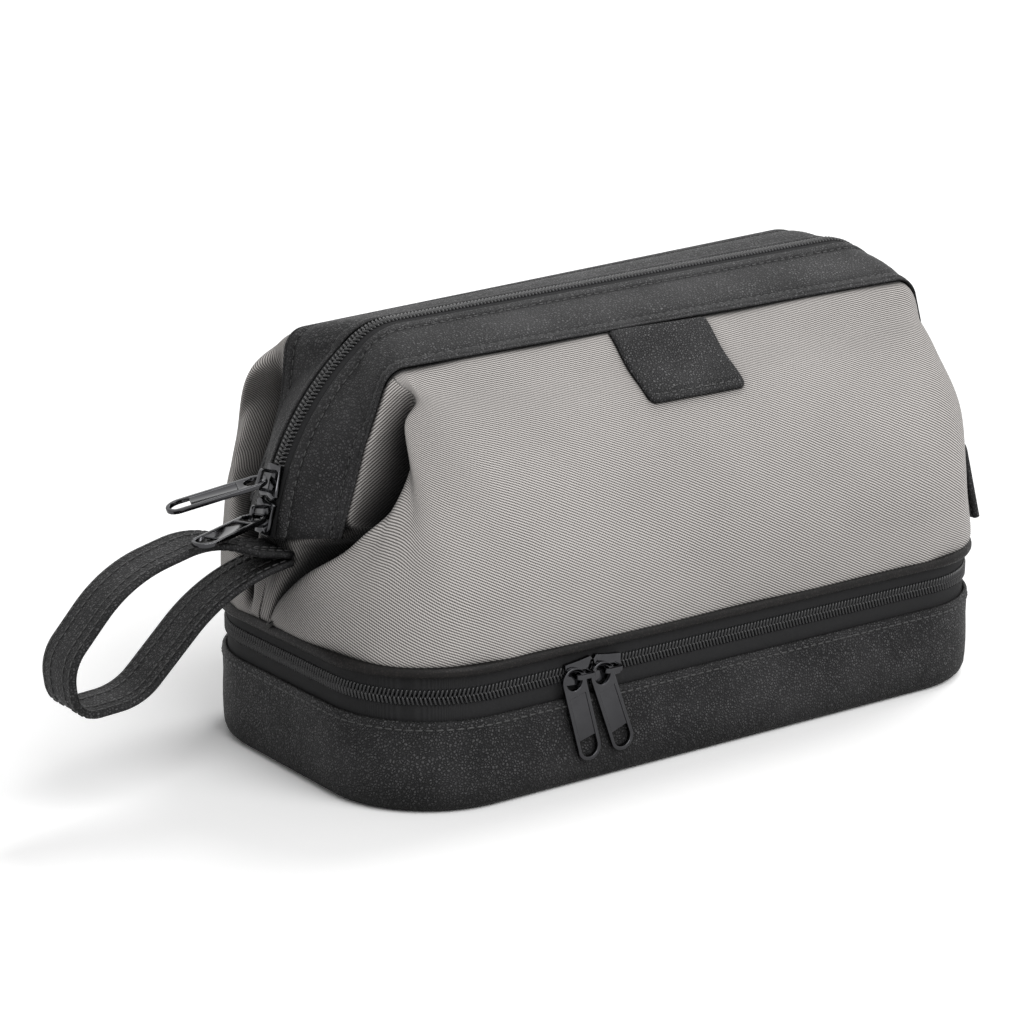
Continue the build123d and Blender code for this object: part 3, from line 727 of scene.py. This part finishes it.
def cloth_lengths(grid, turned):
    """UVs in millimetres along and up the cloth. Gussets, end panels and the rear are cut on other grains."""
    rows, columns = grid.shape[:2]
    u = lengths(grid[level_row])
    u = u - u[columns // 2]
    steps = np.linalg.norm(np.diff(grid, axis=0), axis=2)
    v = np.concatenate((np.zeros((1, columns)), np.cumsum(steps, axis=0)))
    flat = np.stack((np.tile(u, (rows, 1)), v), 2)
    if turned:
        return turned_grain(flat, rear_grain)
    x, y, z = grid[..., 0], grid[..., 1], grid[..., 2]
    facing = np.stack((end_facing[0] * x + end_facing[1] * np.sign(x) * y, z), 2)
    gusset = (slice(gusset_row, None), slice(end_column, gusset_column))
    flat[gusset] = turned_grain(facing[gusset], gusset_grain)
    for part in (slice(0, end_column), slice(-end_column, None)):
        flat[:, part] = turned_grain(facing[:, part], end_grain)
    return flat


def turned_grain(flat, degrees):
    a = math.radians(degrees)
    u, v = flat[..., 0], flat[..., 1]
    return np.stack((u * math.cos(a) - v * math.sin(a), u * math.sin(a) + v * math.cos(a)), 2)


def spread(values, count, step):
    """Values that were taken at every step-th place, filled in for all places along their first axis."""
    taken = np.arange(0, count, step)
    return np.stack([np.interp(np.arange(count), taken, values[:, c]) for c in range(values.shape[1])], 1)


def wrinkled(grid, seed, amount, step=3):
    """The cloth's slack: slow waves that fade out at the waist and under the band."""
    rows, columns = grid.shape[:2]
    row = np.arange(rows)
    fade = np.clip(np.minimum(row / fade_low, (rows - 1 - row) / fade_high), 0, 1)
    coarse = grid[::step, ::step]
    low = np.array([[noise.noise(Vector(p / wave_size + (seed, 0, 0))) for p in line] for line in coarse])
    rise = spread(spread(low.T, columns, step).T, rows, step)
    return grid + surface_normals(grid) * (rise * fade[:, None] * amount)[:, :, None]


def cloth_shell():
    """Both cloth panels with their linings. Gives back the front's points, which the patch lies on."""
    for side, name, seed in ((1, "rear", 11.0), (-1, "front", 3.0)):
        plain = cloth_grid(side)
        rough = wrinkled(plain, seed, 1.1)
        outer = grid_mesh(name + "_cloth", mirrored(rough, side), flip=side > 0,
                          uv=cloth_lengths(plain, side > 0))
        thicken(outer, cloth_thickness, even=False)
        stands(outer, grey_twill, "fabric", name + "_panel")
        on_mouth(outer)
        inner = plain - surface_normals(plain) * lining_depth
        cloth = grid_mesh(name + "_lining_cloth", mirrored(inner[lining_rows], side), flip=side > 0)
        stands(cloth, lining_cloth, "lining", name + "_lining")
        on_mouth(cloth)
    return rough


# Leather bands, wires and the top zip

# A band's rows: share of its width from the zip, and height of its hems, seam grooves and crown
band_rows = ((0.0, 0.0), (0.02, 0.4), (0.06, 0.62), (0.12, 0.62), (0.142, 0.36), (0.155, -0.1),
             (0.168, 0.12), (0.22, 0.4), (0.35, 0.85), (0.5, 1.1), (0.65, 1.0), (0.76, 0.6), (0.812, 0.12),
             (0.825, -0.1), (0.838, 0.4), (0.86, 0.66), (0.91, 0.72), (0.935, 0.5), (0.945, 0.3),
             (0.96, 0.62), (0.985, 0.5), (1.0, 0.1))
seam_rows = (5, 13)


def band_grid(side):
    """A band's points and outward normals, turned to the front."""
    inner, outer = band_edges(side)
    t, rise = np.array(band_rows).T[:, :, None, None]
    flat = inner * (1 - t) + outer * t
    normal = surface_normals(flat)
    return flat - normal * rise, -normal


def bands():
    for side, name in ((-1, "front"), (1, "rear")):
        grid, normal = band_grid(side)
        grid, normal = mirrored(grid, side), mirrored(normal, side)
        band = grid_mesh(name + "_band_leather", grid, flip=side < 0)
        thicken(band, band_thickness)
        stands(band, band_leather, "leather", name + "_band")
        on_mouth(band)
        rows = [stitch_spots(grid[k], normal[k], lift=0.22) for k in seam_rows]
        seam = stitches(name + "_band_stitches", rows, length=2.1, radius=0.28)
        stands(seam, thread, "leather")
        on_mouth(seam)


def tube(name, centre, across, radius, steps=12):
    """A round wire along a line that stays square to one direction."""
    way = np.gradient(centre, axis=0)
    way /= np.linalg.norm(way, axis=1)[:, None]
    out = np.cross(way, across)
    angles = np.linspace(0, 2 * math.pi, steps, endpoint=False)
    rows = [centre + radius * (out * math.cos(a) + across * math.sin(a)) for a in angles]
    return grid_mesh(name, np.swapaxes(np.array(rows), 0, 1), wrap=True)


def frame_wires():
    """The spring wires in the bands' hems. Their feet end a little above the bands' own ends."""
    for side, name in ((-1, "front"), (1, "rear")):
        foot, knee, left, right, end = [np.array(c) for c in edge_corners[side]]
        inset = wire_inset[side]
        corners = (foot + (inset + 1.5, 6), knee + (inset, -0.5), left + (inset * 0.75, -inset),
                   right + (-inset * 0.75, -inset), end + (-inset - 1.5, 6))
        path = bent_path(corners, edge_radii[side], (12, 12, 8, 8, 60, 8, 16))
        centre = np.stack((path[:, 0], np.full(len(path), wire_half * side), path[:, 1]), 1)
        wire = tube(name + "_wire", centre, np.array((0.0, 1.0, 0.0)), wire_radius)
        stands(wire, steel, "wire", name + "_frame_wire")
        on_mouth(wire)


# The top tapes' rows: distance from the zip's middle, and how far they sag beside the teeth
top_tape_rows = ((tape_half_gap, 0.0), (2.675, 0.1), (4.45, 0.5), (6.225, 1.6), (8.0, 2.4))


def upright(points):
    """A line in the XZ plane as points, and its upward normals."""
    centre = np.stack((points[:, 0], np.zeros(len(points)), points[:, 1]), 1)
    way = np.gradient(centre, axis=0)
    up = np.stack((-way[:, 2], np.zeros(len(way)), way[:, 0]), 1)
    return centre, up / np.linalg.norm(up, axis=1)[:, None]


def top_zip():
    path, up = upright(bent_path(zip_corners, zip_radii, (4, 90, 6, 24, 160, 34, 30)))
    for side, name in ((-1, "front"), (1, "rear")):
        rows = [path + np.array((0, side * y, 0)) - up * sag for y, sag in top_tape_rows]
        strip = grid_mesh("top_tape_" + name, np.array(rows), flip=side < 0)
        thicken(strip, tape, 0)
        stands(strip, tape_cloth, "zip_tape", "top_zip_tape_" + name)
        on_mouth(strip)
        coil = chain("top_coil_" + name, path, side, np.array((0.0, 1.0, 0.0)), 0.25)
        stands(coil, teeth_black, "zip_coil", "top_zip_coil_" + name)
        on_mouth(coil)


# Strap, tab and label

def band_profile(width, thickness):
    """Half of a folded band's outline: a slightly wavy face and a rounded edge."""
    h, w = thickness / 2, width / 2
    face = [(y, h * (0.93 + 0.07 * math.cos(6 * math.pi * y / width))) for y in np.linspace(-w + h, w - h, 9)]
    turns = [math.radians(a) for a in np.linspace(75, -75, 6)]
    return face + [(w - h + h * math.cos(a), h * math.sin(a)) for a in turns]


def filled(obj):
    """Close a band's open ends."""
    solid = bmesh.new()
    solid.from_mesh(obj.data)
    bmesh.ops.holes_fill(solid, edges=[e for e in solid.edges if e.is_boundary], sides=0)
    bmesh.ops.recalc_face_normals(solid, faces=solid.faces)
    solid.to_mesh(obj.data)
    solid.free()
    obj.data.polygons.foreach_set("use_smooth", [True] * len(obj.data.polygons))
    return obj


def flat_band(name, body, corners, radii, counts, width, thickness, seams):
    """A folded leather band bent in the XZ plane, with rows of stitches on both faces."""
    centre, up = upright(bent_path(corners, radii, counts))
    profile = band_profile(width, thickness)
    profile += [(-y, -z) for y, z in profile]
    rows = [centre + np.array((0, y, 0)) + up * z for y, z in profile]
    obj = filled(grid_mesh(name + "_leather", np.swapaxes(np.array(rows), 0, 1), wrap=True))
    stands(obj, band_leather, "leather", body)
    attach(obj, body)
    rows = []
    for y in seams:
        for face in (-1, 1):
            line = centre + np.array((0, y, 0)) + up * face * (thickness / 2 - 0.05)
            rows.append(stitch_spots(line, up * face, pitch=3.0))
    seam = stitches(name + "_leather_stitches", rows, length=2.3, radius=0.3)
    stands(seam, thread, "leather")
    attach(seam, body)


# Routes in the XZ plane: the strap out and back, and the tab
strap_route = ((-133.5, 76.5), (-144.5, 78.7), (-162.0, 85.5), (-192.0, 78.0), (-213.5, 54.0),
               (-211.5, 37.0), (-189.0, 38.5), (-156.5, 70.0), (-133.5, 73.9))
strap_radii = (20.0, 30.0, 45.0, 15.0, 8.0, 20.0, 60.0)
strap_steps = (4, 6, 6, 12, 8, 12, 8, 10, 4, 10, 6, 10, 12, 12, 8)
tab_route = ((133.4, 73.0), (149.0, 76.0), (158.5, 43.5))


def straps():
    flat_band("strap", "wrist_strap", strap_route, strap_radii, strap_steps,
              width=20.0, thickness=2.4, seams=(-8.2, -4.2, 4.2, 8.2))
    flat_band("tab", "end_tab", tab_route, (7.0,), (8, 10, 16),
              width=46.0, thickness=3.0, seams=(-20.8, 20.8))


# The patch: its middle, half its width, its length from under the band's edge, and its corners' radius
label_middle, label_half, label_long, label_bend = -3.5, 20.5, 30.0, 3.0
label_start, label_hem, label_seam_turn = 138.0, 2.7, 2.3


def label_spot(cloth, normal, x, down):
    """A place on the cloth and its normal, at a distance down the cloth from the patch's start."""
    level = cloth[label_row, :, 0]
    c = np.interp(label_middle + x, level, np.arange(len(level)))
    k, f = int(c), c - int(c)
    line, up = [part[::-1, k] * (1 - f) + part[::-1, k + 1] * f for part in (cloth, normal)]
    s = lengths(line)
    s = s - np.interp(-label_start, -line[:, 2], s)
    place, out = [np.array([np.interp(down, s, part[:, i]) for i in range(3)]) for part in (line, up)]
    return place, out / np.linalg.norm(out)


def label_height(edge):
    """The patch's height above the cloth, at a distance from its edge: eased edge, hem and groove."""
    groove = 0.45 * math.exp(-((edge - label_hem) / 0.35) ** 2)
    return 0.55 + min(edge, 0.8) + (0.25 if edge > 3.2 else 0.0) - groove


def label_grid(cloth, normal):
    ends = label_long - np.array((3.0, 2.2, 1.4, 0.8, 0.35, 0.1))
    downs = np.concatenate(((0.0, 0.3, 1.0), np.linspace(2.2, label_long - 4, 22), ends))
    shares = np.concatenate(((-1, -0.985, -0.955), np.linspace(-0.9, 0.9, 31), (0.955, 0.985, 1)))
    rows = []
    for down in downs:
        over = max(0.0, down - (label_long - label_bend))
        reach = label_half - (label_bend - math.sqrt(max(label_bend * label_bend - over * over, 0.0)))
        row = []
        for share in shares:
            place, out = label_spot(cloth, normal, reach * share, down)
            edge = min(reach * (1 - abs(share)), label_long - down)
            row.append(place + out * label_height(edge))
        rows.append(row)
    return np.array(rows)


def label_border():
    """The stitches' route on the patch: down one side, along its end and up the other side."""
    side, end = -label_half + label_hem, label_long - 5
    half = [(side, down) for down in np.linspace(0, end, 12)]
    for a in np.linspace(0.2, math.pi / 2, 5):
        half.append((side + label_seam_turn * (1 - math.cos(a)), end + label_seam_turn * math.sin(a)))
    return half + [(-x, down) for x, down in half[::-1]]


def label(cloth):
    """Bare leather patch that lies on the cloth from under the band's edge down, with a stitched border."""
    normal = surface_normals(cloth)
    patch = grid_mesh("label_leather", label_grid(cloth, normal), flip=True)
    thicken(patch, patch_thickness)
    stands(patch, black_leather, "leather", "label_patch")
    on_mouth(patch)
    spots = [label_spot(cloth, normal, x, down) for x, down in label_border()]
    line = np.array([place + out * 1.1 for place, out in spots])
    ups = np.array([out for _, out in spots])
    seam = stitches("label_stitches", [stitch_spots(line, ups)], length=2.1, radius=0.28)
    stands(seam, thread, "leather")
    on_mouth(seam)


def hardware():
    """Sliders and pulls keep their CAD shapes, with their edges eased. Each one is a body of its own."""
    for name in ("top_slider_lower", "top_slider_upper", "lower_slider_left", "lower_slider_right",
                 "top_pull_upper", "top_pull_lower", "lower_pull_left", "lower_pull_right"):
        obj = bpy.data.objects.new(name + "_polished", nodes[name].data.copy())
        bpy.context.scene.collection.objects.link(obj)
        weld = obj.modifiers.new("weld", "WELD")
        weld.merge_threshold = 0.01 * mm
        ease = obj.modifiers.new("ease", "BEVEL")
        ease.width, ease.segments = 0.22 * mm, 3
        ease.limit_method, ease.angle_limit = "ANGLE", math.radians(35)
        ease.harden_normals = True
        bake(obj)
        stands(obj, black_metal, "hardware", name)
        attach(obj, name)


tray()
lower_zip()
waist_bead()
label(cloth_shell())
bands()
frame_wires()
top_zip()
straps()
hardware()
for name, material in (("tray_floor", base_cloth), ("tray_board", board_grey), ("divider_board", board_grey),
                       ("lower_zip_stops", teeth_black), ("top_zip_stop_left", teeth_black),
                       ("top_zip_stop_right", teeth_black)):
    paint(nodes[name], material)


# Stage

def white_floor(half=9000, level=-0.05):
    """The floor is brighter to the camera than to other rays: it shows white, and the bag gets no more light."""
    corners = [(-half, -half, level), (half, -half, level), (half, half, level), (-half, half, level)]
    floor = new_mesh("floor", corners, [(0, 1, 2, 3)], smooth=False)
    material, tree, shader = tree_of("floor_white")
    seen = node(tree, "ShaderNodeLightPath").outputs["Is Camera Ray"]
    matt = node(tree, "ShaderNodeBsdfDiffuse", {"Color": maths(tree, "MULTIPLY_ADD", seen, 0.4, 0.85)})
    tree.links.new(matt.outputs[0], tree.nodes["Material Output"].inputs[0])
    tree.nodes.remove(shader)
    paint(floor, material)


def white_world(fill=0.34):
    """White to the camera, in reflections and through clear pieces, and a soft fill light to other rays."""
    world = bpy.data.worlds.new("studio")
    bpy.context.scene.world = world
    world.use_nodes = True
    tree = world.node_tree
    back = tree.nodes["Background"]
    ray = node(tree, "ShaderNodeLightPath").outputs
    shown = maths(tree, "ADD", ray["Is Camera Ray"], ray["Is Glossy Ray"])
    shown = maths(tree, "ADD", shown, ray["Is Transmission Ray"])
    tree.links.new(maths(tree, "MULTIPLY_ADD", shown, 1 - fill, fill), back.inputs["Strength"])
    back.inputs["Color"].default_value = (1, 1, 1, 1)


def lamp(name, place, energy, size):
    data = bpy.data.lights.new(name, "SUN")
    data.energy = energy
    data.angle = math.radians(size)
    obj = bpy.data.objects.new(name, data)
    bpy.context.scene.collection.objects.link(obj)
    obj.rotation_euler = Vector(place).to_track_quat("Z", "Y").to_euler()


# The photo's camera: angles in degrees, and the target's shift in its view in millimetres
azimuth, elevation, distance = -35.89, 15.81, 1002.84
aim_height, shift_right, shift_up = 90.0, -32.88, -22.60
lens, sensor = 101.966, 36.0


def camera():
    az, el = math.radians(azimuth), math.radians(elevation)
    back = np.array((math.sin(az) * math.cos(el), -math.cos(az) * math.cos(el), math.sin(el)))
    right = np.array((math.cos(az), math.sin(az), 0))
    up = np.cross(back, right)
    place = np.array((0, 0, aim_height)) + right * shift_right + up * shift_up + back * distance
    data = bpy.data.cameras.new("camera")
    data.lens, data.sensor_width, data.clip_end = lens, sensor, 50
    obj = bpy.data.objects.new("camera", data)
    bpy.context.scene.collection.objects.link(obj)
    turn = Matrix((right, up, back)).transposed()
    obj.matrix_world = Matrix.Translation(Vector(place * mm)) @ turn.to_4x4()
    bpy.context.scene.camera = obj


white_floor()
white_world()
lamp("front", (0.1, -1.0, 0.95), 1.9, 50)
lamp("behind_right", (0.9, 0.35, 1.3), 0.9, 24)
camera()
bpy.context.scene.view_settings.view_transform = "Standard"
